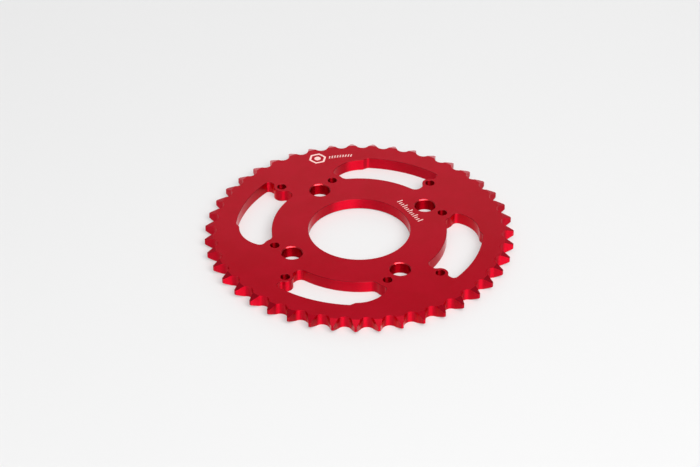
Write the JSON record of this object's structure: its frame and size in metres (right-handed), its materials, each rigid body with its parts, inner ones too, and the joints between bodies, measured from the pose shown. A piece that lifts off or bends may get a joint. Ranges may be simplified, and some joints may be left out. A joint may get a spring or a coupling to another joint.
{
  "type": "rear sprocket",
  "caption": "Flat one-piece rear chain sprocket with a large centre bore, wheel bolt holes and curved lightening windows between its arms.",
  "frame": {"origin": "on the wheel axis, in the lower face of the plate", "axes": "+Z along the wheel axis, out of the marked outer face; X and Y run through the middle of the windows' hub ring, with the wheel bolts at 45 degrees to them"},
  "size_m": [0.1794, 0.1792, 0.0072],
  "materials": {
    "red_anodised": "satin red anodised, milled edges"
  },
  "bodies": {
    "root": {"sprocket_plate": "red_anodised"}
  },
  "joints": []
}
